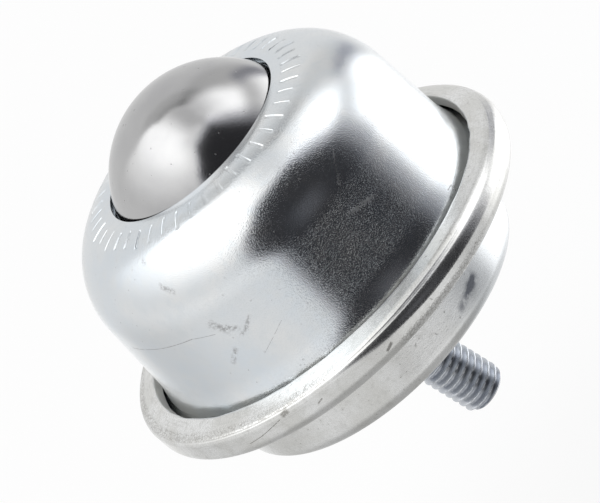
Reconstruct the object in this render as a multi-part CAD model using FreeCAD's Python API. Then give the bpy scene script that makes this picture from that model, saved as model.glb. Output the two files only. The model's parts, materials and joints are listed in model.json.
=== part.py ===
"""Stud-mounted ball castor: a load ball on a bed of small balls in a crimped two-piece housing.

Millimetres. +Z is the housing's axis, from the stud to the ball. The origin is the centre of the
base cup's underside, the face that seats on whatever the castor is fixed to.
"""
import FreeCAD, Part
import math
import os

# Balls
ball_diameter = 25.4
support_ball_diameter = 4.7625
running_clearance = 0.05
support_ball_spacing = 0.1
support_ball_rows = 4

# Ball seat, a turned block with a bowl
seat_floor_thickness = 7.75
seat_rim_drop = 4.1
seat_rim_wall = 1.2
seat_edge_chamfer = 0.6
seat_side_clearance = 0.3

# Dome cover, pressed sheet
dome_wall = 1.5
ball_standout = 7.15
opening_clearance = 0.4
opening_land = 0.1
shoulder_radius = 9.4
side_draft_deg = 3.3
dome_foot_radius = 2.0

# Base cup, pressed sheet, with the crimped rim
cup_wall = 1.4
cup_depth = 7.83
cup_corner_radius = 1.9
cup_neck_radius = 1.0
rim_lower_bend = 1.6
rim_upper_bend = 1.6
lip_gap = 0.89
lip_width = 3.46
lip_slope_deg = 18.0
lip_seat_clearance = 0.02
flange_side_clearance = 0.73

# Stud, headed inside the cup and knocked out of square at its root
stud_diameter = 6.0
stud_length = 15.4
stud_point_chamfer = 0.6
stud_hole_clearance = 0.5
stud_head_diameter = 12.0
stud_head_thickness = 3.0
stud_head_clearance = 0.3
stud_neck_length = 0.9
stud_lean_deg = 11.5
stud_bend_radius = 6.0

# Sizes that follow from the ball and its bed
ball_radius = ball_diameter / 2
support_radius = support_ball_diameter / 2
bed_radius = ball_radius + running_clearance + support_radius
bowl_radius = bed_radius + support_radius + running_clearance
ball_height = cup_wall + seat_floor_thickness + bowl_radius
seat_top = ball_height - seat_rim_drop
seat_radius = math.sqrt(bowl_radius**2 - seat_rim_drop**2) + seat_rim_wall
cup_radius = seat_radius + seat_side_clearance + cup_wall

# Heights of the dome's flange, which lies on the cup's
flange_underside = cup_depth + cup_wall
flange_top = flange_underside + dome_wall

# Section of the dome: a drafted side and a round shoulder that ends at the opening
dome_top = ball_height + ball_radius - ball_standout
opening_sphere = ball_radius + opening_clearance
opening_radius = math.sqrt(opening_sphere**2 - (dome_top - ball_height) ** 2)
draft = math.radians(side_draft_deg)
draft_cos = math.cos(draft)
draft_sin = math.sin(draft)
shoulder_r = opening_radius + opening_land
shoulder_z = dome_top - shoulder_radius
side_radius = shoulder_r + (shoulder_radius + (shoulder_z - flange_top) * draft_sin) / draft_cos
foot_r = side_radius + dome_foot_radius * (1 - draft_sin) / draft_cos
foot_z = flange_top + dome_foot_radius

# Crimp: the lip slopes up inwards, and its underside bears on the edge of the dome's flange
lip_slope = math.radians(lip_slope_deg)
lip_sin = math.sin(lip_slope)
lip_cos = math.cos(lip_slope)
lip_fall = lip_sin / lip_cos
lip_low_r = side_radius + lip_gap
rim_radius = lip_low_r + lip_width
flange_radius = rim_radius - cup_wall - flange_side_clearance
lip_low_z = flange_top + lip_seat_clearance + (flange_radius - lip_low_r) * lip_fall
lip_top_r = lip_low_r + cup_wall * lip_sin
lip_top_z = lip_low_z + cup_wall * lip_cos
upper_bend_r = rim_radius - rim_upper_bend
upper_bend_end = lip_top_z - (upper_bend_r + rim_upper_bend * lip_sin - lip_top_r) * lip_fall
upper_bend_z = upper_bend_end - rim_upper_bend * lip_cos

# Stud
stud_radius = stud_diameter / 2
stud_hole_radius = stud_radius + stud_hole_clearance
stud_lean = math.radians(stud_lean_deg)
stud_neck_end = cup_wall - stud_neck_length
stud_straight = stud_length + stud_neck_end - stud_bend_radius * stud_lean

AXIS_BASE = FreeCAD.Vector(0, 0, 0)
AXIS_UP = FreeCAD.Vector(0, 0, 1)
SAME_POINT = 1e-7


def point(r, z):
    """A point of a section in the XZ plane."""
    return FreeCAD.Vector(r, 0, z)


def line(start, end):
    """A straight edge between two section points, each given as (r, z)."""
    return Part.LineSegment(point(*start), point(*end)).toShape()


def polar(centre, radius, angle):
    """The section point at an angle, in degrees from +r towards +z, on a circle."""
    turn = math.radians(angle)
    return (centre[0] + radius * math.cos(turn), centre[1] + radius * math.sin(turn))


def bend(centre, radius, start, end):
    """A round edge about a centre, from one angle to another."""
    angles = (start, (start + end) / 2, end)
    return Part.Arc(*(point(*polar(centre, radius, angle)) for angle in angles)).toShape()


def joined(edges):
    """The edges of a section, with straight edges added wherever one stops short of the next."""
    chain = []
    for edge, following in zip(edges, edges[1:] + edges[:1]):
        chain.append(edge)
        stop = edge.lastVertex(True).Point
        start = following.firstVertex(True).Point
        if stop.distanceToPoint(start) > SAME_POINT:
            chain.append(Part.LineSegment(stop, start).toShape())
    return chain


def turned(edges):
    """A solid of revolution about Z from the edges of its half section."""
    face = Part.Face(Part.Wire(joined(edges)))
    return face.revolve(AXIS_BASE, AXIS_UP, 360)


def make_main_ball():
    """The load ball."""
    return Part.makeSphere(ball_radius, point(0, ball_height))


def make_support_balls():
    """Small balls in level rows up the bowl, each row as full as its circle allows."""
    pitch = support_ball_diameter + support_ball_spacing
    row_angle = 2 * math.asin(pitch / (2 * bed_radius))
    balls = []
    for row in range(support_ball_rows + 1):
        row_radius = bed_radius * math.sin(row * row_angle)
        height = ball_height - bed_radius * math.cos(row * row_angle)
        count = 1 if row == 0 else int(math.pi / math.asin(pitch / (2 * row_radius)))
        for number in range(count):
            turn = 2 * math.pi * number / count
            place = FreeCAD.Vector(row_radius * math.cos(turn), row_radius * math.sin(turn), height)
            balls.append(Part.makeSphere(support_radius, place))
    return balls


def make_ball_seat():
    """The turned seat: a bowl on a flat foot, with a recess below for the stud's head."""
    recess_radius = stud_head_diameter / 2 + stud_head_clearance
    recess_top = cup_wall + stud_head_thickness + stud_head_clearance
    chamfer = seat_edge_chamfer
    rim_angle = -math.degrees(math.asin(seat_rim_drop / bowl_radius))
    return turned([
        line((0, recess_top), (recess_radius, recess_top)),
        line((recess_radius, cup_wall), (seat_radius - chamfer, cup_wall)),
        line((seat_radius, cup_wall + chamfer), (seat_radius, seat_top - chamfer)),
        line((seat_radius - chamfer, seat_top), polar((0, ball_height), bowl_radius, rim_angle)),
        bend((0, ball_height), bowl_radius, rim_angle, -90),
    ])


def make_dome_cover():
    """The pressed bell: flange, foot bend, drafted side, round shoulder and the ball's opening."""
    foot = (foot_r, foot_z)
    shoulder = (shoulder_r, shoulder_z)
    half_opening = opening_radius / 2
    foot_outer = dome_foot_radius
    foot_inner = dome_foot_radius + dome_wall
    shoulder_inner = shoulder_radius - dome_wall
    bell = turned([
        line((half_opening, dome_top - dome_wall), (half_opening, dome_top)),
        bend(shoulder, shoulder_radius, 90, side_draft_deg),
        bend(foot, foot_outer, 180 + side_draft_deg, 270),
        line((flange_radius, flange_top), (flange_radius, flange_underside)),
        bend(foot, foot_inner, 270, 180 + side_draft_deg),
        bend(shoulder, shoulder_inner, side_draft_deg, 90),
    ])
    return bell.cut(Part.makeSphere(opening_sphere, point(0, ball_height))).Solids[0]


def make_base_cup():
    """The pressed cup: floor with the stud's hole, wall, flange, and the rim crimped in to a lip."""
    corner = (cup_radius - cup_corner_radius, cup_corner_radius)
    neck = (cup_radius + cup_neck_radius, cup_depth - cup_neck_radius)
    lower = (rim_radius - rim_lower_bend, cup_depth + rim_lower_bend)
    upper = (upper_bend_r, upper_bend_z)
    lip_angle = 90 - lip_slope_deg
    return turned([
        line((stud_hole_radius, cup_wall), (stud_hole_radius, 0)),
        bend(corner, cup_corner_radius, -90, 0),
        bend(neck, cup_neck_radius, 180, 90),
        bend(lower, rim_lower_bend, -90, 0),
        bend(upper, rim_upper_bend, 0, lip_angle),
        line((lip_top_r, lip_top_z), (lip_low_r, lip_low_z)),
        bend(upper, rim_upper_bend - cup_wall, lip_angle, 0),
        bend(lower, rim_lower_bend - cup_wall, 0, -90),
        bend(neck, cup_neck_radius + cup_wall, 90, 180),
        bend(corner, cup_corner_radius - cup_wall, 0, -90),
    ])


def make_threaded_stud():
    """The stud: flat round head, neck through the floor, a short bend, and the leaning shank."""
    head_radius = stud_head_diameter / 2
    head = turned([
        line((0, cup_wall + stud_head_thickness), (head_radius, cup_wall + stud_head_thickness)),
        line((head_radius, cup_wall), (stud_radius, cup_wall)),
        line((stud_radius, stud_neck_end), (0, stud_neck_end)),
    ])
    root_disc = Part.Face(Part.Wire(Part.makeCircle(stud_radius, point(0, stud_neck_end), AXIS_UP)))
    hinge_line = point(stud_bend_radius, stud_neck_end)
    cross = FreeCAD.Vector(0, 1, 0)
    elbow = root_disc.revolve(hinge_line, cross, -stud_lean_deg)
    shank = turned([
        line((0, stud_neck_end), (stud_radius, stud_neck_end)),
        line((stud_radius, stud_neck_end - stud_straight + stud_point_chamfer),
             (stud_radius - stud_point_chamfer, stud_neck_end - stud_straight)),
        line((0, stud_neck_end - stud_straight), (0, stud_neck_end)),
    ])
    shank.rotate(hinge_line, cross, -stud_lean_deg)
    return head.fuse([elbow, shank]).removeSplitter().Solids[0]


pieces = {
    "main_ball": make_main_ball(),
    "ball_seat": make_ball_seat(),
    "dome_cover": make_dome_cover(),
    "base_cup": make_base_cup(),
    "threaded_stud": make_threaded_stud(),
}
for number, ball in enumerate(make_support_balls(), start=1):
    pieces[f"support_ball_{number:02d}"] = ball

os.makedirs("parts", exist_ok=True)
for node, shape in pieces.items():
    shape.exportStep(f"parts/{node}.step")
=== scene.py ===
import json
import math

import bmesh
import bpy
import numpy as np
from mathutils import Matrix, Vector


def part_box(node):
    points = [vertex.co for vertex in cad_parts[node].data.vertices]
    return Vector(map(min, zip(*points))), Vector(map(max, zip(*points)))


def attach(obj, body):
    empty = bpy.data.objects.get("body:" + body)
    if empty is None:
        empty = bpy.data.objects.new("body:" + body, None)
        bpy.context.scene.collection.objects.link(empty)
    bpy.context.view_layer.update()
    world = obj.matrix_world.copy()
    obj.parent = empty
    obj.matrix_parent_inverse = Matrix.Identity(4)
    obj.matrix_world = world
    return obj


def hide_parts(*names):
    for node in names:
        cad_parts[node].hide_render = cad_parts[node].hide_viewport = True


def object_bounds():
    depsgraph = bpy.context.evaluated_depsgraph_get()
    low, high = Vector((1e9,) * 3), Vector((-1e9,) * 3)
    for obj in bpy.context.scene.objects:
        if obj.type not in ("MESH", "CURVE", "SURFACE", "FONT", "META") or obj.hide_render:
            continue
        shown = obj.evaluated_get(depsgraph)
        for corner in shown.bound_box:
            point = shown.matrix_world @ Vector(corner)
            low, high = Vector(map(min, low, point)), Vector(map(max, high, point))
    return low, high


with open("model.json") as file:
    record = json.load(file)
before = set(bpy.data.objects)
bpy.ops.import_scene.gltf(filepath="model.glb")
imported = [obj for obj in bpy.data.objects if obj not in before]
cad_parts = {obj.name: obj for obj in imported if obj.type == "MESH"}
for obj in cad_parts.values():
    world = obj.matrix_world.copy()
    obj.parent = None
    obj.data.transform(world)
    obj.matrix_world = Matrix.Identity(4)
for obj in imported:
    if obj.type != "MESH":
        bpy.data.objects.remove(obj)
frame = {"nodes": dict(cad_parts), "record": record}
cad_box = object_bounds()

# Threaded stud
# A headed M6 stud of steel, thread rolled and then plated with bright blue zinc. The head is clamped
# between the cup's floor and the ball seat, and a knock has bent the stud out of square at its root.
mm = 0.001
stud_mount = next(m for m in frame["record"]["mounts"] if m["name"] == "stud")
stud_radius = stud_mount["dims"]["r_mm"] * mm
stud_wall = stud_mount["dims"]["length_mm"] * mm
stud_axis = np.array(stud_mount["axis"])
stud_lean = math.atan2(stud_axis[0], -stud_axis[2])
stud_bend_end = np.array(stud_mount["pos_m"]) - stud_axis * stud_wall / 2
stud_bend_radius = stud_bend_end[0] / (1 - math.cos(stud_lean))
stud_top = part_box("threaded_stud")[1].z
stud_upright = stud_top - stud_bend_end[2] - stud_bend_radius * math.sin(stud_lean)
stud_head_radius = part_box("threaded_stud")[1].y
stud_head_thickness = stud_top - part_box("ball_seat")[0].z
stud_head_edge = 0.35 * mm
stud_point_chamfer = 0.6 * mm
stud_length = stud_upright + stud_bend_radius * stud_lean + stud_wall + stud_point_chamfer
thread_pitch = 1.0 * mm
thread_depth_per_pitch = 0.6134
thread_depth = thread_depth_per_pitch * thread_pitch
stud_plain_neck = 2.4 * mm
thread_start = stud_head_thickness + stud_plain_neck
thread_runout = 0.8 * mm
crest_flat = 0.875
root_flat = 0.25
stud_steps = 96
stud_rings_per_pitch = 20


def stud_path(s):
    """Centre and direction of the stud at a distance s below its top: straight down to the bend,
    round it on a circle, then straight on along the leaning shank."""
    turn = np.clip((s - stud_upright) / stud_bend_radius, 0, stud_lean)
    after = np.maximum(s - stud_upright - stud_bend_radius * stud_lean, 0)
    x = stud_bend_radius * (1 - np.cos(turn)) + after * math.sin(stud_lean)
    drop = np.minimum(s, stud_upright) + stud_bend_radius * np.sin(turn) + after * math.cos(stud_lean)
    none = np.zeros_like(s)
    return np.stack([x, none, stud_top - drop], -1), np.stack([np.sin(turn), none, -np.cos(turn)], -1)


def stud_surface():
    """Rings about the path. Down the shank the radius is the thread's: a triangle wave of distance
    along the path less turn, cut flat at crest and root, and it is cut back by the point's chamfer.
    Also returns how deep in the thread each point lies, from 0 at the crest to 1 at the root."""
    round_off = np.radians(np.linspace(0, 90, 7))
    edge_s = stud_head_edge * (1 - np.sin(round_off))
    edge_r = stud_head_radius - stud_head_edge * (1 - np.cos(round_off))
    count = int((stud_length - stud_head_thickness) / thread_pitch * stud_rings_per_pitch)
    shank_s = np.linspace(stud_head_thickness, stud_length, count)
    s = np.concatenate([[0], edge_s[::-1], stud_head_thickness - edge_s, shank_s, [stud_length]])
    r = np.concatenate([[0], edge_r[::-1], edge_r, np.full(count, stud_radius), [0]])
    theta = np.linspace(0, 2 * np.pi, stud_steps, endpoint=False)
    wave = np.abs(2 * np.mod(s[:, None] / thread_pitch - theta / (2 * np.pi), 1) - 1)
    groove = 1 - np.clip((wave - root_flat) / (crest_flat - root_flat), 0, 1)
    groove = groove * np.clip((s - thread_start) / thread_runout, 0, 1)[:, None]
    point_cone = r - np.maximum(stud_point_chamfer - stud_length + s, 0)
    radius = np.clip(r[:, None] - thread_depth * groove, 0, np.maximum(point_cone, 0)[:, None])
    centre, along = stud_path(s)
    across = np.array([0.0, 1.0, 0.0])
    outward = np.cross(across, along)
    ring = np.cos(theta)[None, :, None] * outward[:, None, :] + np.sin(theta)[None, :, None] * across
    return centre[:, None, :] + radius[..., None] * ring, groove


def grid_mesh(name, points, loop=False):
    """Quads over points [ring, step]: each ring closes on itself, and with loop the last ring joins
    the first."""
    rings, steps = points.shape[:2]
    ring = np.arange(rings if loop else rings - 1)[:, None]
    step = np.arange(steps)[None, :]
    row, next_row = ring * steps, (ring + 1) % rings * steps
    next_step = (step + 1) % steps
    corners = [row + step, row + next_step, next_row + next_step, next_row + step]
    mesh = bpy.data.meshes.new(name)
    mesh.from_pydata(points.reshape(-1, 3), [], np.stack(corners, -1).reshape(-1, 4))
    return mesh


def finish_mesh(mesh, sharp_deg):
    """Merges each pole's points into one, then shades the mesh smooth but for its sharp edges."""
    work = bmesh.new()
    work.from_mesh(mesh)
    bmesh.ops.remove_doubles(work, verts=work.verts, dist=1e-8)
    work.to_mesh(mesh)
    work.free()
    mesh.polygons.foreach_set("use_smooth", np.ones(len(mesh.polygons), bool))
    mesh.set_sharp_from_angle(angle=math.radians(sharp_deg))


class Shade:
    """An output socket of a shader tree, so that shader maths reads as a Python expression."""

    def __init__(self, tree, socket):
        self.tree = tree
        self.socket = socket

    def node(self, kind, settings, sockets, out=0):
        """Adds a node of any type: its settings first, then the values or links of its sockets."""
        made = self.tree.nodes.new(kind)
        for name, value in settings.items():
            setattr(made, name, value)
        for name, value in sockets.items():
            if isinstance(value, Shade):
                self.tree.links.new(value.socket, made.inputs[name])
            else:
                made.inputs[name].default_value = value
        return Shade(self.tree, made.outputs[out])

    def math(self, operation, *others):
        return self.node("ShaderNodeMath", {"operation": operation}, dict(enumerate((self, *others))))

    def __add__(self, other):
        return self.math("ADD", other)

    def __sub__(self, other):
        return self.math("SUBTRACT", other)

    def __rsub__(self, other):
        return self.math("MULTIPLY", -1.0).math("ADD", other)

    def __mul__(self, other):
        return self.math("MULTIPLY", other)

    def __abs__(self):
        return self.math("ABSOLUTE")

    __radd__ = __add__
    __rmul__ = __mul__

    def step(self, low, high):
        """0 at low and 1 at high, eased between; high may be the lower of the two."""
        ends = {"Value": self, "From Min": low, "From Max": high}
        return self.node("ShaderNodeMapRange", {"interpolation_type": "SMOOTHSTEP"}, ends)

    def mix(self, first, second):
        """The first colour where this is 0 and the second where it is 1."""
        return self.node("ShaderNodeMix", {"data_type": "RGBA"}, {0: self, 6: first, 7: second}, out=2)

    def noise(self, size, detail=2.0):
        """Soft random patches, each about as large as size, in metres, with this as the place."""
        return self.node("ShaderNodeTexNoise", {}, {"Vector": self, "Scale": 1 / size, "Detail": detail})

    def part(self, axis):
        """One component of a vector: 0, 1 or 2 for x, y or z."""
        return self.node("ShaderNodeSeparateXYZ", {}, {0: self}, out=axis)

    def into(self, shader, name):
        self.tree.links.new(self.socket, shader.inputs[name])


def new_metal(name):
    """An all-metal material, with its shader node and the object coordinates as a Shade."""
    made = bpy.data.materials.new(name)
    made.use_nodes = True
    shader = made.node_tree.nodes["Principled BSDF"]
    shader.inputs["Metallic"].default_value = 1.0
    place = made.node_tree.nodes.new("ShaderNodeTexCoord")
    return made, shader, Shade(made.node_tree, place.outputs["Object"])


def bump(height, depth):
    """The normal of a surface raised by height, from 0 to 1, times depth in metres."""
    return height.node("ShaderNodeBump", {}, {"Height": height, "Strength": 1.0, "Distance": depth})


crest_grey = (0.59, 0.62, 0.67, 1)
crest_pale = (0.70, 0.725, 0.76, 1)
# Painted shade: the thread's roots are darkened towards this grey, more the deeper they lie.
root_shade_grey = (0.2, 0.215, 0.25, 1)
root_shade_share = 0.45
stud_bloom = 2.2 * mm
stud_grain = 0.18 * mm
stud_grain_depth = 0.006 * mm
stud_roughness = 0.16
blue_zinc, shader, place = new_metal("blue_zinc")
depth = place.node("ShaderNodeAttribute", {"attribute_name": "thread_depth"}, {}, out=2)
bloom = place.noise(stud_bloom, detail=3.0)
grain = place.noise(stud_grain)
clean = bloom.step(0.3, 0.7).mix(crest_grey, crest_pale)
# Painted shade in the thread's grooves: the colour goes darker with depth towards the root's grey.
(depth * root_shade_share).mix(clean, root_shade_grey).into(shader, "Base Color")
(stud_roughness + 0.1 * bloom + 0.12 * depth).into(shader, "Roughness")
bump(grain, stud_grain_depth).into(shader, "Normal")

stud_points, stud_groove = stud_surface()
stud_mesh = grid_mesh("stud", stud_points)
depth_values = stud_mesh.attributes.new("thread_depth", "FLOAT", "POINT").data
depth_values.foreach_set("value", stud_groove.ravel())
finish_mesh(stud_mesh, sharp_deg=40)
stud_mesh.materials.append(blue_zinc)
stud = bpy.data.objects.new("stud", stud_mesh)
bpy.context.collection.objects.link(stud)
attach(stud, "housing")
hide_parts("threaded_stud")

# Base cup
# The lower half of the housing, pressed from 1.4 mm sheet and plated with clear zinc. Its edge was
# spun up and rolled in over the dome's flange. The roll is uneven: the bend is tight at the front left
# and slack at the right, and the plating is crazed where the roller bore hardest.
cup_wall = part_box("ball_seat")[0].z
seat_clearance = 0.3 * mm
cup_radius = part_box("ball_seat")[1].x + seat_clearance + cup_wall
cup_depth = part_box("dome_cover")[0].z - cup_wall
cup_corner = 1.9 * mm
cup_draft = 0.25 * mm
cup_neck = 1.0 * mm
stud_clearance = 0.5 * mm
stud_hole_radius = stud_radius + stud_clearance
rim_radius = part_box("base_cup")[1].x
rim_lower_bend = 1.6 * mm
rim_upper_bend = 1.6 * mm
rim_tight_bend = 0.85 * mm
rim_slack_bend = 2.2 * mm
slack_begins_deg = (-24, 20)
slack_ends_deg = (170, 110)
rim_draft = 0.07 * mm
lip_slope_deg = 18.0
lip_width = 3.46 * mm
lip_low_r = rim_radius - lip_width
lip_top_r = lip_low_r + cup_wall * math.sin(math.radians(lip_slope_deg))
lip_top_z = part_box("base_cup")[1].z
lip_low_z = lip_top_z - cup_wall * math.cos(math.radians(lip_slope_deg))
lip_top_edge = 0.32 * mm
lip_low_edge = 0.25 * mm
lip_wander = 0.05 * mm
lip_wander_width = 0.8 * mm
lip_wander_seed = 4
lip_wander_waves = 60
lip_allowance = 0.1 * mm
roller_band_deg = (36, 50)
roller_band_ease_deg = 3
roller_press = 0.025 * mm
cup_steps = 680


def arc(centre, radius, start, end, count):
    """Section points (r, z) on a circle, from one angle in degrees to another."""
    angle = np.radians(np.linspace(start, end, count))
    return np.stack([centre[0] + radius * np.cos(angle), centre[1] + radius * np.sin(angle)], -1)


def straight(start, end, count):
    """Section points (r, z) evenly spaced on a line, its ends left out."""
    share = np.linspace(0, 1, count + 2)[1:-1, None]
    return np.array(start) * (1 - share) + np.array(end) * share


def turned(section, turn):
    """The section's points (r, z) carried round the Z axis to each turn, as points [section, turn]."""
    r, z = section[:, 0, None], section[:, 1, None]
    return np.stack([r * np.cos(turn), r * np.sin(turn), z + 0 * turn], -1)


def wander(turn, seed, waves):
    """A smooth random wave round the turn, about -1 to 1: a sum of sines with seeded phases."""
    dice = np.random.default_rng(seed)
    count = np.arange(2, waves)
    phase = dice.uniform(0, 2 * np.pi, len(count))
    size = dice.normal(0, 1, len(count)) / np.sqrt(len(count))
    return (size[:, None] * np.sin(count[:, None] * turn + phase[:, None])).sum(0)


def upper_bend(radius):
    """Centre of the rim's upper bend: it touches the outermost radius and the lip's sloping top."""
    slope = math.radians(lip_slope_deg)
    r = rim_radius - radius
    end_z = lip_top_z - (r + radius * math.sin(slope) - lip_top_r) * math.tan(slope)
    return r, end_z - radius * math.cos(slope)


def cup_section(bend):
    """The half section, anticlockwise: hole, floor, wall, flange, rim, lip and back inside. The rim's
    upper bend has the radius given, with a shallow band pressed in it by the roller."""
    slope = math.radians(lip_slope_deg)
    along = np.array([math.cos(slope), -math.sin(slope)])
    across = np.array([math.sin(slope), math.cos(slope)])
    corner = (cup_radius - cup_draft - cup_corner, cup_corner)
    neck = (cup_radius + cup_neck, cup_depth - cup_neck)
    lower = (rim_radius - rim_draft - rim_lower_bend, cup_depth + rim_lower_bend)
    upper = upper_bend(bend)
    lip_deg = 90 - lip_slope_deg
    lip_top = np.array([lip_top_r, lip_top_z]) + lip_top_edge * (along - across)
    lip_low = np.array([lip_low_r, lip_low_z]) + lip_low_edge * (along + across)
    bend_deg = np.linspace(0, lip_deg, 33)
    into_band = np.clip((bend_deg - roller_band_deg[0]) / roller_band_ease_deg, 0, 1)
    out_of_band = np.clip((roller_band_deg[1] - bend_deg) / roller_band_ease_deg, 0, 1)
    bend_radius = bend - roller_press * into_band * out_of_band
    bend_rad = np.radians(bend_deg)
    outward = np.stack([np.cos(bend_rad), np.sin(bend_rad)], -1)
    outer_bend = np.array(upper) + bend_radius[:, None] * outward
    return np.concatenate([
        straight((stud_hole_radius, cup_wall), (stud_hole_radius, 0), 1),
        [(stud_hole_radius, 0)],
        straight((stud_hole_radius, 0), (corner[0], 0), 10),
        arc(corner, cup_corner, -90, 0, 12),
        straight((cup_radius - cup_draft, corner[1]), (cup_radius, neck[1]), 10),
        arc(neck, cup_neck, 180, 90, 8),
        straight((neck[0], cup_depth), (lower[0], cup_depth), 5),
        arc(lower, rim_lower_bend, -90, 0, 16),
        straight((rim_radius - rim_draft, lower[1]), (rim_radius, upper[1]), 3),
        outer_bend,
        straight(outer_bend[-1], lip_top + lip_top_edge * across, 7),
        arc(lip_top, lip_top_edge, lip_deg, lip_deg + 90, 8),
        arc(lip_low, lip_low_edge, lip_deg + 90, lip_deg + 180, 4),
        arc(upper_bend(rim_upper_bend), rim_upper_bend - cup_wall, lip_deg, 0, 3),
        arc(lower, rim_lower_bend - cup_wall, 0, -90, 3),
        arc(neck, cup_neck + cup_wall, 90, 180, 6),
        arc(corner, cup_corner - cup_wall, 0, -90, 3),
        [(stud_hole_radius, cup_wall)],
    ])


def cup_surface():
    """The section carried round, blended from its tight bend to its slack one: slack is an eased share
    of the turn from the front, 0 at the left and 1 at the right. The lip's edge wavers in and out."""
    turn = np.linspace(0, 2 * np.pi, cup_steps, endpoint=False)
    from_front = np.degrees(np.arctan2(np.cos(turn), -np.sin(turn)))
    begun = (from_front - slack_begins_deg[0]) / (slack_begins_deg[1] - slack_begins_deg[0])
    fading = (slack_ends_deg[0] - from_front) / (slack_ends_deg[0] - slack_ends_deg[1])
    slack = np.clip(begun, 0, 1) * np.clip(fading, 0, 1)
    slack = (slack * slack * (3 - 2 * slack))[None, :, None]
    tight = cup_section(rim_tight_bend)
    points = (1 - slack) * turned(tight, turn) + slack * turned(cup_section(rim_slack_bend), turn)
    on_lip = (tight[:, 0] > lip_low_r - lip_allowance) & (tight[:, 1] > lip_low_z)
    near_edge = np.clip(1 - (tight[:, 0] - lip_top_r) / lip_wander_width, 0, 1) * on_lip
    wave = wander(turn, lip_wander_seed, lip_wander_waves)
    waver = near_edge[:, None] * wave * lip_wander / lip_top_r
    points[..., :2] *= 1 + waver[..., None]
    return points


cup_grey = (0.72, 0.72, 0.70, 1)
cup_white = (0.83, 0.835, 0.83, 1)
cup_mottled = (0.52, 0.52, 0.50, 1)
cup_streaked = (0.50, 0.50, 0.48, 1)
cup_bluish = (0.73, 0.755, 0.775, 1)
cup_grained = (0.48, 0.48, 0.46, 1)
# Painted reflection: the dark colour of two blotches on the cup's wall at its right.
cup_reflection_dark = (0.10, 0.11, 0.14, 1)
cup_sheared = (0.60, 0.59, 0.56, 1)
cup_dulled = (0.30, 0.29, 0.27, 1)
cup_patch = 5 * mm
cup_mottle = 0.8 * mm
cup_grain = 0.18 * mm
cup_speck = 0.4 * mm
cup_streak = 0.22 * mm
cup_streak_stretch = 0.08
cup_craze_cell = 0.42 * mm
cup_relief_depth = 0.010 * mm
cup_roughness = 0.16
sheared_roughness = 0.45
painted_reflection_share = 0.65
painted_reflection_most = 0.85
# Where each finish begins and where it is full: heights, radii, and turns from the front in radians.
upper_craze_z = ((11.4 * mm, 11.6 * mm), (12.05 * mm, 11.95 * mm))
upper_craze_turn = (-0.15, -0.45)
lower_craze_z = ((8.0 * mm, 8.3 * mm), (9.5 * mm, 9.0 * mm))
lower_craze_turn = ((-0.05, 0.05), (0.7, 0.5))
rim_r = (25.0 * mm, 25.3 * mm)
sheared_r = (lip_top_r + 0.05 * mm, lip_top_r - 0.1 * mm)
sheared_z = (lip_low_z - 0.4 * mm, lip_low_z - 0.1 * mm)
streaked_z = (9.5 * mm, 10.5 * mm)
bluish_z = (8.4 * mm, 7.6 * mm)
bluish_turn = (0.1, 0.6)
mark_core = 0.4
soft_core = 0.0
# A mark is its two ends, each a turn and a height in degrees and mm, and its width in mm.
rim_marks = [
    ((-33.0, 11.05, -31.6, 11.2), 0.42),
    ((-46.5, 9.65, -41.8, 9.95), 0.07),
    ((-41.8, 9.95, -34.5, 10.75), 0.08),
    ((-3.2, 9.4, -1.4, 9.75), 0.22),
    ((-24.0, 9.9, -22.6, 10.1), 0.12),
]
# Painted dark reflections: two blotches on the cup's wall at its right, laid out as marks.
cup_painted_reflections = [
    ((21.5, 2.9, 33.0, 3.8), 0.8),
    ((28.5, 3.3, 32.5, 3.7), 1.3),
]


def skin_marks(turn, height, radius, marks, core):
    """Straight marks on a turned skin, added up: each is 1 on the line between its two ends and eases
    to 0 over its width, of which core is the solid share."""
    total = 0.0
    for ends, width in marks:
        start = np.array([math.radians(ends[0]) * radius, ends[1] * mm])
        run = np.array([math.radians(ends[2]) * radius, ends[3] * mm]) - start
        length = float(np.hypot(*run))
        along = run / length
        across_skin = turn * radius - float(start[0])
        up_skin = height - float(start[1])
        on = abs(across_skin * float(along[0]) + up_skin * float(along[1]) - length / 2) - length / 2
        off = abs(up_skin * float(along[0]) - across_skin * float(along[1]))
        within = on.step(width * mm, (core - mark_core) * width * mm)
        total = total + within * off.step(width * mm, core * width * mm)
    return total


cup_zinc, shader, place = new_metal("cup_zinc")
turn = place.part(0).math("ARCTAN2", place.part(1) * -1.0)
height = place.part(2)
level = place.node("ShaderNodeVectorMath", {"operation": "MULTIPLY"}, {0: place, 1: (1, 1, 0)})
reach = level.node("ShaderNodeVectorMath", {"operation": "LENGTH"}, {0: level}, out=1)
along_roll = {0: place.part(0) * cup_streak_stretch, 1: place.part(1) * cup_streak_stretch}
flow = place.node("ShaderNodeCombineXYZ", {}, {**along_roll, 2: height - reach})
rolled = flow.noise(cup_streak, detail=3.0)
patch = place.noise(cup_patch, detail=4.0)
mottle = place.noise(cup_mottle, detail=4.0)
grain = place.noise(cup_grain, detail=1.0)
specks = place.noise(cup_speck, detail=0.0).step(0.80, 0.83)
cells = {"Vector": place, "Scale": 1 / cup_craze_cell}
craze = place.node("ShaderNodeTexVoronoi", {"feature": "DISTANCE_TO_EDGE"}, cells)
upper_band = height.step(*upper_craze_z[0]) * height.step(*upper_craze_z[1])
upper_band = upper_band * turn.step(*upper_craze_turn)
lower_band = height.step(*lower_craze_z[0]) * height.step(*lower_craze_z[1])
lower_band = lower_band * turn.step(*lower_craze_turn[0]) * turn.step(*lower_craze_turn[1])
outside = reach.step(*rim_r)
crack = craze.step(0.16, 0.03) * (upper_band + lower_band) * outside * mottle.step(0.3, 0.45)
raw_edge = reach.step(*sheared_r) * height.step(*sheared_z)
wear = skin_marks(turn, height, rim_radius, rim_marks, mark_core)
wear = wear * outside * grain.step(0.25, 0.45)
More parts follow.
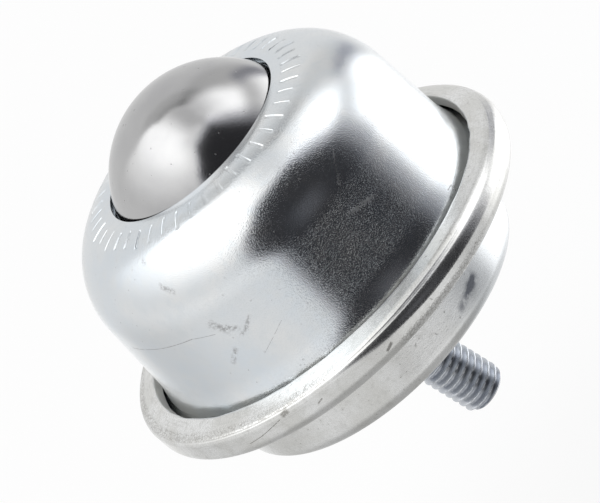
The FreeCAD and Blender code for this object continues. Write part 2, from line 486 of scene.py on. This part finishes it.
# Painted reflection: the dark blotches on the wall, broken up by the mottle and capped.
painted_reflection = skin_marks(turn, height, cup_radius, cup_painted_reflections, soft_core)
painted_reflection = (painted_reflection_share * painted_reflection * mottle.step(0.25, 0.55)).math("MINIMUM", painted_reflection_most)
streaks = 0.25 * rolled.step(0.52, 0.68) * height.step(*streaked_z)
clean = patch.step(0.35, 0.65).mix(cup_grey, cup_white)
clean = (0.3 * mottle.step(0.5, 0.7)).mix(clean, cup_mottled)
clean = streaks.mix(clean, cup_streaked)
clean = (turn.step(*bluish_turn) * height.step(*bluish_z)).mix(clean, cup_bluish)
clean = (0.2 * grain.step(0.6, 0.35)).mix(clean, cup_grained)
# The painted dark reflections go over the clean colour here.
clean = painted_reflection.mix(clean, cup_reflection_dark)
sheared = raw_edge.mix(clean, cup_sheared)
dull = (0.5 * crack + 0.8 * wear + 0.3 * specks).math("MINIMUM", 1.0)
dull.mix(sheared, cup_dulled).into(shader, "Base Color")
rough = cup_roughness + 0.06 * patch + 0.12 * grain + 0.25 * dull + sheared_roughness * raw_edge
rough.into(shader, "Roughness")
relief = grain * 0.6 + rolled * 0.3 + mottle * 0.15 - crack * 0.7 - wear * 0.6
bump(relief, cup_relief_depth).into(shader, "Normal")

cup_mesh = grid_mesh("crimped_cup", cup_surface(), loop=True)
finish_mesh(cup_mesh, sharp_deg=50)
cup_mesh.materials.append(cup_zinc)
cup = bpy.data.objects.new("crimped_cup", cup_mesh)
bpy.context.collection.objects.link(cup)
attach(cup, "housing")
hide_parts("base_cup")

# Ball seat
# A turned and hardened steel block that stands on the cup's floor over the stud's head, with a bowl
# for the small balls. It keeps the lathe's fine rings and the uneven grey of its heat treatment.
seat_dark = (0.30, 0.30, 0.31, 1)
seat_pale = (0.42, 0.41, 0.40, 1)
seat_heat = 4 * mm
lathe_pitch = 0.25 * mm
lathe_depth = 0.004 * mm
seat_roughness = 0.3
seat_steel, shader, place = new_metal("seat_steel")
radius = place.node("ShaderNodeVectorMath", {"operation": "LENGTH"}, {0: place}, out=1)
lathe = (radius * (2 * math.pi / lathe_pitch)).math("SINE")
heat = place.noise(seat_heat, detail=3.0)
heat.step(0.35, 0.7).mix(seat_dark, seat_pale).into(shader, "Base Color")
(seat_roughness + 0.15 * heat).into(shader, "Roughness")
bump(lathe * 0.5 + 0.5, lathe_depth).into(shader, "Normal")
seat = frame["nodes"]["ball_seat"]
seat.data.materials.clear()
seat.data.materials.append(seat_steel)

# Support balls
# Small balls of hardened chrome steel, ground and polished, laid in rows in the seat's bowl under the
# main ball. They stay loose, and rubbing on one another has left a slight haze on them.
small_ball_grey = (0.60, 0.60, 0.61, 1)
small_ball_pale = (0.70, 0.70, 0.70, 1)
small_ball_haze = 1.5 * mm
small_ball_roughness = 0.06
small_ball_steel, shader, place = new_metal("small_ball_steel")
haze = place.noise(small_ball_haze, detail=3.0)
haze.step(0.3, 0.7).mix(small_ball_grey, small_ball_pale).into(shader, "Base Color")
(small_ball_roughness + 0.1 * haze).into(shader, "Roughness")
for name, node in frame["nodes"].items():
    if name.startswith("support_ball_"):
        node.data.materials.clear()
        node.data.materials.append(small_ball_steel)

# Main ball
# The load ball, hardened steel, ground and tumbled to a soft polish. It lies on the small balls and
# turns freely; rolling has left faint pits and a slight haze on it.
ball_low, ball_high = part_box("main_ball")
ball_radius = (ball_high.z - ball_low.z) / 2
ball_centre = np.array([0.0, 0.0, (ball_high.z + ball_low.z) / 2])
ball_steps = 288
ball_grey = (0.465, 0.465, 0.47, 1)
ball_pale = (0.515, 0.515, 0.515, 1)
ball_pitted = (0.22, 0.22, 0.22, 1)
ball_haze = 6 * mm
ball_grain = 0.3 * mm
ball_pit = 0.5 * mm
ball_grain_depth = 0.004 * mm
ball_roughness = 0.10


def ball_surface():
    """Points of the sphere by latitude, from pole to pole, and longitude."""
    latitude = np.radians(np.linspace(-90, 90, ball_steps // 2 + 1))
    longitude = np.linspace(0, 2 * np.pi, ball_steps, endpoint=False)
    level = np.cos(latitude)[:, None]
    level[[0, -1]] = 0
    x = level * np.cos(longitude)
    y = level * np.sin(longitude)
    z = np.sin(latitude)[:, None] + 0 * longitude
    return ball_centre + ball_radius * np.stack([x, y, z], -1)


ball_steel, shader, place = new_metal("ball_steel")
haze = place.noise(ball_haze, detail=4.0)
grain = place.noise(ball_grain, detail=3.0)
pits = place.noise(ball_pit, detail=0.0).step(0.82, 0.85)
clean = haze.step(0.3, 0.7).mix(ball_grey, ball_pale)
(0.35 * pits).mix(clean, ball_pitted).into(shader, "Base Color")
(ball_roughness + 0.05 * haze + 0.05 * grain + 0.2 * pits).into(shader, "Roughness")
bump(grain - pits * 0.5, ball_grain_depth).into(shader, "Normal")
ball_mesh = grid_mesh("load_ball", ball_surface())
finish_mesh(ball_mesh, sharp_deg=60)
ball_mesh.materials.append(ball_steel)
ball = bpy.data.objects.new("load_ball", ball_mesh)
bpy.context.collection.objects.link(ball)
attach(ball, "main_ball")
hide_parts("main_ball")

# Dome cover
# The bell over the ball, deep drawn from 1.5 mm steel sheet and plated with bright clear zinc. Its
# flange is gripped by the cup's lip, and a ring of plain strokes is stamped round the opening.
dome_wall = 1.5 * mm
dome_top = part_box("dome_cover")[1].z
flange_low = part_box("dome_cover")[0].z
flange_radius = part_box("dome_cover")[1].x
flange_top = flange_low + dome_wall
opening_gap = 0.4 * mm
opening_sphere = ball_radius + opening_gap
opening_radius = math.sqrt(opening_sphere ** 2 - (dome_top - ball_centre[2]) ** 2)
top_flat = 0.1 * mm
shoulder_radius = 9.4 * mm
shoulder = np.array([opening_radius + top_flat, dome_top - shoulder_radius])
shoulder_fine_deg = (60, 60.8)
shoulder_inner_deg = 88
dome_draft_deg = 3.3
dome_flare = 12.0 * mm
dome_flare_deg = 20.0
dome_foot = 1.2 * mm
stroke_count = 45
stroke_seed = 7
stroke_force = (0.3, 1.0)
stroke_ends = (13.0 * mm, 15.7 * mm)
stroke_end_spread = 0.4 * mm
stroke_end_ease = 0.12 * mm
stroke_depth = 0.14 * mm
stroke_half = (0.075, 0.115)
stroke_zone = 2 * mm
skin_allowance = 0.01 * mm
# The points' places over one stroke's share of the turn, close together at the stroke's sides.
stroke_beat = np.array([0, 0.05, 0.075, 0.095, 0.115, 0.16, 0.25, 0.37])
stroke_beat = np.concatenate([stroke_beat, [0.5], 1 - stroke_beat[:0:-1]])


def dome_section():
    """The half section, anticlockwise: flange underside, flange edge, foot, side, shoulder, the
    opening's edge on a sphere about the ball, and back down inside."""
    draft = math.radians(dome_draft_deg)
    flare = math.radians(dome_flare_deg)
    foot_z = flange_top + dome_foot
    flare_z = foot_z + (dome_flare - dome_foot) * math.sin(flare)
    both_bends = shoulder_radius + dome_flare + (shoulder[1] - flare_z) * math.sin(draft)
    turn_in = shoulder[0] + both_bends / math.cos(draft)
    foot = (turn_in - (dome_flare - dome_foot) * math.cos(flare), foot_z)
    inner = shoulder_radius - dome_wall
    low_z = shoulder[1] + inner - ball_centre[2]
    low_r = math.sqrt(opening_sphere ** 2 - low_z ** 2)
    side_top = arc(shoulder, shoulder_radius, dome_draft_deg, dome_draft_deg, 1)[0]
    side_foot = arc((turn_in, flare_z), dome_flare, 180 + dome_draft_deg, 180 + dome_draft_deg, 1)[0]
    low_deg = math.degrees(math.atan2(low_z, low_r))
    high_deg = math.degrees(math.atan2(dome_top - ball_centre[2], opening_radius))
    return np.concatenate([
        [(flange_radius, flange_low), (flange_radius, flange_top)],
        arc(foot, dome_foot, 270, 181 + dome_flare_deg, 10),
        arc((turn_in, flare_z), dome_flare, 180 + dome_flare_deg, 180 + dome_draft_deg, 10),
        straight(side_foot, side_top, 20),
        arc(shoulder, shoulder_radius, dome_draft_deg, shoulder_fine_deg[0], 38),
        arc(shoulder, shoulder_radius, shoulder_fine_deg[1], 90, 38),
        arc((0, ball_centre[2]), opening_sphere, high_deg, low_deg, 4),
        arc(shoulder, inner, shoulder_inner_deg, dome_draft_deg, 10),
        arc(foot, dome_foot + dome_wall, 180 + dome_flare_deg, 270, 5),
    ])


def stamped(section):
    """The section carried round, with the shoulder pressed in along its normal at each stroke: a
    steep-sided bar in turn and radius, each struck to its own seeded depth."""
    number = (np.arange(stroke_count)[:, None] + stroke_beat).ravel()
    turn = number / stroke_count * 2 * np.pi
    points = turned(section, turn)
    dice = np.random.default_rng(stroke_seed)
    which = np.mod(np.rint(number).astype(int), stroke_count)
    depth = dice.uniform(*stroke_force, stroke_count)[which]
    inner_end = stroke_ends[0] + dice.uniform(0, stroke_end_spread, stroke_count)[which]
    outer_end = stroke_ends[1] - dice.uniform(0, stroke_end_spread, stroke_count)[which]
    off = np.abs(number - np.rint(number))
    bar = np.clip((stroke_half[1] - off) / (stroke_half[1] - stroke_half[0]), 0, 1)
    from_centre = np.linalg.norm(section - shoulder, axis=1)
    normal = (section - shoulder) / from_centre[:, None]
    r = section[:, 0, None]
    begun = np.clip((r - inner_end) / stroke_end_ease, 0, 1)
    reach = begun * np.clip((outer_end - r) / stroke_end_ease, 0, 1)
    on_skin = from_centre > shoulder_radius - skin_allowance
    on_top = on_skin & (section[:, 1] > dome_top - stroke_zone)
    press = stroke_depth * reach * on_top[:, None] * depth * bar
    points[..., 0] -= press * normal[:, 0, None] * np.cos(turn)
    points[..., 1] -= press * normal[:, 0, None] * np.sin(turn)
    points[..., 2] -= press * normal[:, 1, None]
    return points


dome_scratches = [
    ((-76.0, 22.0, -59.0, 21.85), 0.06),
    ((-59.0, 21.85, -46.0, 21.8), 0.07),
    ((-46.0, 21.8, -38.0, 21.1), 0.05),
    ((-30.2, 16.2, -19.2, 18.2), 0.035),
    ((29.0, 26.75, 25.6, 25.9), 0.08),
    ((25.4, 25.7, 23.8, 25.2), 0.08),
    ((44.6, 12.75, 47.0, 12.6), 0.07),
    ((46.9, 12.6, 46.4, 11.9), 0.07),
]
dome_scuffs = [
    ((-36.6, 22.4, -33.8, 20.8), 0.75),
    ((-33.6, 21.2, -31.0, 20.4), 0.55),
    ((-25.4, 20.8, -28.0, 20.1), 0.35),
    ((-28.2, 20.0, -31.4, 19.5), 0.35),
    ((-36.4, 18.4, -40.4, 17.1), 0.45),
    ((-44.0, 28.4, -40.2, 27.4), 0.45),
    ((-49.8, 30.7, -48.6, 30.6), 0.35),
    ((25.6, 20.2, 16.8, 21.3), 0.55),
    ((23.6, 25.0, 20.6, 24.0), 0.40),
    ((15.3, 27.8, 14.2, 27.8), 0.22),
]
dome_bluish = (0.71, 0.755, 0.795, 1)
dome_white = (0.79, 0.80, 0.80, 1)
dome_mottled = (0.735, 0.765, 0.785, 1)
dome_grained = (0.50, 0.53, 0.56, 1)
dome_worn = (0.33, 0.33, 0.33, 1)
dome_patch = 7 * mm
dome_mottle = 1.5 * mm
dome_grain = 0.13 * mm
dome_fleck = 0.3 * mm
dome_speck = 0.36 * mm
dome_relief_depth = 0.008 * mm
dome_roughness = 0.12
side_radius = shoulder[0] + shoulder_radius
dome_zinc, shader, place = new_metal("dome_zinc")
turn = place.part(0).math("ARCTAN2", place.part(1) * -1.0)
height = place.part(2)
patch = place.noise(dome_patch, detail=4.0)
mottle = place.noise(dome_mottle, detail=3.0)
grain = place.noise(dome_grain, detail=1.0).step(0.42, 0.72)
flecks = place.noise(dome_fleck, detail=3.0)
specks = place.noise(dome_speck, detail=0.0).step(0.81, 0.84)
scratched = skin_marks(turn, height, side_radius, dome_scratches, mark_core)
scuffed = skin_marks(turn, height, side_radius, dome_scuffs, soft_core)
wear = (scratched * flecks.step(0.3, 0.5) + scuffed * flecks.step(0.36, 0.62)).math("MINIMUM", 1.0)
worn = (0.75 * wear + 0.3 * specks).math("MINIMUM", 1.0)
clean = patch.step(0.3, 0.7).mix(dome_bluish, dome_white)
clean = mottle.step(0.4, 0.75).mix(clean, dome_mottled)
clean = (0.1 * grain).mix(clean, dome_grained)
worn.mix(clean, dome_worn).into(shader, "Base Color")
(dome_roughness + 0.04 * patch + 0.12 * grain + 0.3 * worn).into(shader, "Roughness")
bump(grain * 0.5 + mottle * 0.12 - worn * 0.5, dome_relief_depth).into(shader, "Normal")

dome_mesh = grid_mesh("drawn_dome", stamped(dome_section()), loop=True)
finish_mesh(dome_mesh, sharp_deg=60)
dome_mesh.materials.append(dome_zinc)
dome = bpy.data.objects.new("drawn_dome", dome_mesh)
bpy.context.collection.objects.link(dome)
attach(dome, "housing")
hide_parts("dome_cover")

# Studio
# A white room with a dark card in front to the right. Beyond the card a bright side box meets a grey
# rear screen along a slanted seam, a box hangs overhead to the left, and low panels light the
# underside. A pale floor below the stud takes the shadow.
world = bpy.data.worlds.new("studio")
bpy.context.scene.world = world
world.use_nodes = True
tree = world.node_tree
background = tree.nodes["Background"]
sky = Shade(tree, tree.nodes.new("ShaderNodeTexCoord").outputs["Generated"])
front = sky.part(0).math("ARCTAN2", sky.part(1) * -1.0) * (180 / math.pi)
round_about = front.math("WRAP", 360.0, 0.0)
rise = sky.part(2).math("ARCSINE") * (180 / math.pi)
# A panel's sides are pairs of angles in degrees: where it begins, and where it is full.
low_front = {"level": 1.05, "left": (-25, 10), "right": (62, 38), "low": (-46, -36), "high": (-25, -29)}
low_rear = {"level": 1.05, "left": (125, 135), "right": (228, 190), "low": (-33, -26), "high": (-5, -16)}
low_right = {"level": 0.85, "left": (92, 108), "right": (178, 166), "low": (-68, -52), "high": (-25, -31)}
high_front = {"level": 1.25, "left": (-45, 5), "right": (60, 30), "low": (38, 50), "high": (80, 66)}
side_box = {"left": (58, 84), "right": (180, 170), "low": (23, 37), "high": (74, 68)}
ground_level = 0.46
left_fill_level = 0.12
overhead_level = 1.95
overhead_fall = 1.15
overhead_across = (0.985, 0.174)
side_level = 2.0
side_low_level = 1.9
rear_level = 0.85
dip_depth = 0.33
seam_turn = 123
seam_bends = (27.5, 34)
seam_slopes = (0.72, 0.62)
card_level = 0.036
card_glint_level = 0.07
white = (1, 1, 1, 1)
card_tint = (0.97, 0.98, 1.08, 1)


def panel(light, around, level, left, right, low, high):
    """The light with a soft-edged panel in front of it: the mask is the product of its four sides, and
    under it the light goes over to the panel's own level."""
    mask = around.step(*left) * around.step(*right) * rise.step(*low) * rise.step(*high)
    return light + mask * (level - light)


# The room grows brighter from the ground up, with a faint fill at the left.
light = ground_level + 0.24 * rise.step(-58, -30) + 0.17 * rise.step(-25, 5)
light = light + 0.5 * rise.step(15, 48) + 0.55 * rise.step(40, 62)
left_fill = front.step(-115, -70) * front.step(0, -15) * rise.step(-45, -25) * rise.step(12, -5)
light = light + left_fill_level * left_fill
across = overhead_across[0] * sky.part(0) + overhead_across[1] * sky.part(1)
overhead = overhead_level - overhead_fall * across.step(-0.19, 0.18)
light = light + rise.step(58, 68) * (overhead - light)
light = panel(light, front, **low_front)
light = panel(light, round_about, **low_rear)
light = panel(light, front, **low_right)
light = panel(light, front, **high_front)
# The seam leans to the rear below and above its middle. The side box and its low part end there, and
# the rear screen begins, darker at first.
seam_below = seam_slopes[0] * (seam_bends[0] - rise).math("MAXIMUM", 0.0)
seam_above = seam_slopes[1] * (rise - seam_bends[1]).math("MAXIMUM", 0.0)
past_seam = round_about - (seam_turn + seam_below + seam_above)
light = panel(light, front, level=side_level - rise.step(40, 70), **side_box)
side_low = front.step(78, 94) * past_seam.step(-1, -13) * rise.step(-50, -20) * rise.step(22, 1)
light = light + side_low * (side_low_level - light)
dip = past_seam.step(9, 0) * rise.step(30, 20) * rise.step(-10, 2)
screen = rear_level - 0.2 * rise.step(45, 56) - 0.2 * rise.step(58, 66)
screen = screen - 0.16 * round_about.step(155, 140) - dip_depth * dip
rear_end = round_about + 1.1 * (rise - 45).math("MAXIMUM", 0.0)
rear = past_seam.step(-13 - 17 * rise.step(12, 46), 1) * rear_end.step(228, 218)
rear = rear * rise.step(-20, -8) * rise.step(71, 67)
light = light + rear * (screen - light)
# The card's left side leans in below and above, its right side above, and a faint glint lies on it.
card_left = (front - 13 * rise.step(15, -15) - 0.8 * (rise - 34).math("MAXIMUM", 0.0)).step(-32, -18)
card_right = (front + 0.5 * (rise - 22).math("MAXIMUM", 0.0)).step(95, 57)
card_top = (rise + 0.1 * (20 - front).math("MAXIMUM", 0.0)).step(69, 57)
card = card_left * card_right * card_top * rise.step(-29, -24)
card_glint = front.step(2, 18) * front.step(38, 22) * rise.step(-12, 3) * rise.step(24, 12)
light = light + card * (card_level + card_glint_level * card_glint - light)
rays = tree.nodes.new("ShaderNodeLightPath").outputs
seen = Shade(tree, rays["Is Camera Ray"]).math("MAXIMUM", Shade(tree, rays["Is Transmission Ray"]))
(light + seen * (1 - light)).into(background, "Strength")
cool = card.math("MAXIMUM", dip * rear) * (1 - seen)
cool.mix(white, card_tint).into(background, "Color")

floor_drop = 20 * mm
floor_level = cad_box[0].z - floor_drop
floor_half = 2.0
floor_grey = (0.9, 0.9, 0.9, 1)
floor_roughness = 0.9
floor_glow = 0.85
floor_mesh = bpy.data.meshes.new("floor")
floor_corners = np.array([(-1, -1, 0), (1, -1, 0), (1, 1, 0), (-1, 1, 0)]) * floor_half
floor_corners = floor_corners + (0, 0, floor_level)
floor_mesh.from_pydata(floor_corners, [], [(0, 1, 2, 3)])
floor_paint = bpy.data.materials.new("floor_paint")
floor_paint.use_nodes = True
tree = floor_paint.node_tree
paint = tree.nodes["Principled BSDF"]
paint.inputs["Base Color"].default_value = floor_grey
paint.inputs["Roughness"].default_value = floor_roughness
seen = Shade(tree, tree.nodes.new("ShaderNodeLightPath").outputs["Is Camera Ray"])
glow = seen.node("ShaderNodeEmission", {}, {"Color": white, "Strength": 1.0})
shaders = {0: seen * floor_glow, 1: Shade(tree, paint.outputs[0]), 2: glow}
both = seen.node("ShaderNodeMixShader", {}, shaders)
both.into(tree.nodes["Material Output"], "Surface")
floor_mesh.materials.append(floor_paint)
floor = bpy.data.objects.new("floor", floor_mesh)
bpy.context.collection.objects.link(floor)
floor.visible_glossy = False

# Camera
# It stands in front of the part and above it, turned on its own axis as the photograph is. It is aimed
# from the main ball's centre, shifted across and up to frame the part.
picture_size = (600, 503)
view_rise = math.radians(23.311)
view_roll = math.radians(45.841)
view_distance = 600 * mm
view_centre = np.array([0, 0, 26.7 * mm])
view_aim = np.array([8.436, -8.784]) * mm
lens_pixels = 5435.7
level_right = np.array([1.0, 0.0, 0.0])
level_up = np.array([0.0, math.sin(view_rise), math.cos(view_rise)])
ahead = np.array([0.0, math.cos(view_rise), -math.sin(view_rise)])
right = level_right * math.cos(view_roll) - level_up * math.sin(view_roll)
up = level_up * math.cos(view_roll) + level_right * math.sin(view_roll)
spot = view_centre + view_aim[0] * right + view_aim[1] * up - view_distance * ahead
camera_data = bpy.data.cameras.new("camera")
camera_data.sensor_width = 36.0
camera_data.lens = lens_pixels / picture_size[0] * camera_data.sensor_width
camera_data.clip_start = 0.01
camera_data.clip_end = 10.0
camera = bpy.data.objects.new("camera", camera_data)
bpy.context.collection.objects.link(camera)
placement = np.eye(4)
placement[:3, 0] = right
placement[:3, 1] = up
placement[:3, 2] = -ahead
placement[:3, 3] = spot
camera.matrix_world = Matrix(placement.tolist())
bpy.context.scene.camera = camera
bpy.context.scene.view_settings.view_transform = "Standard"
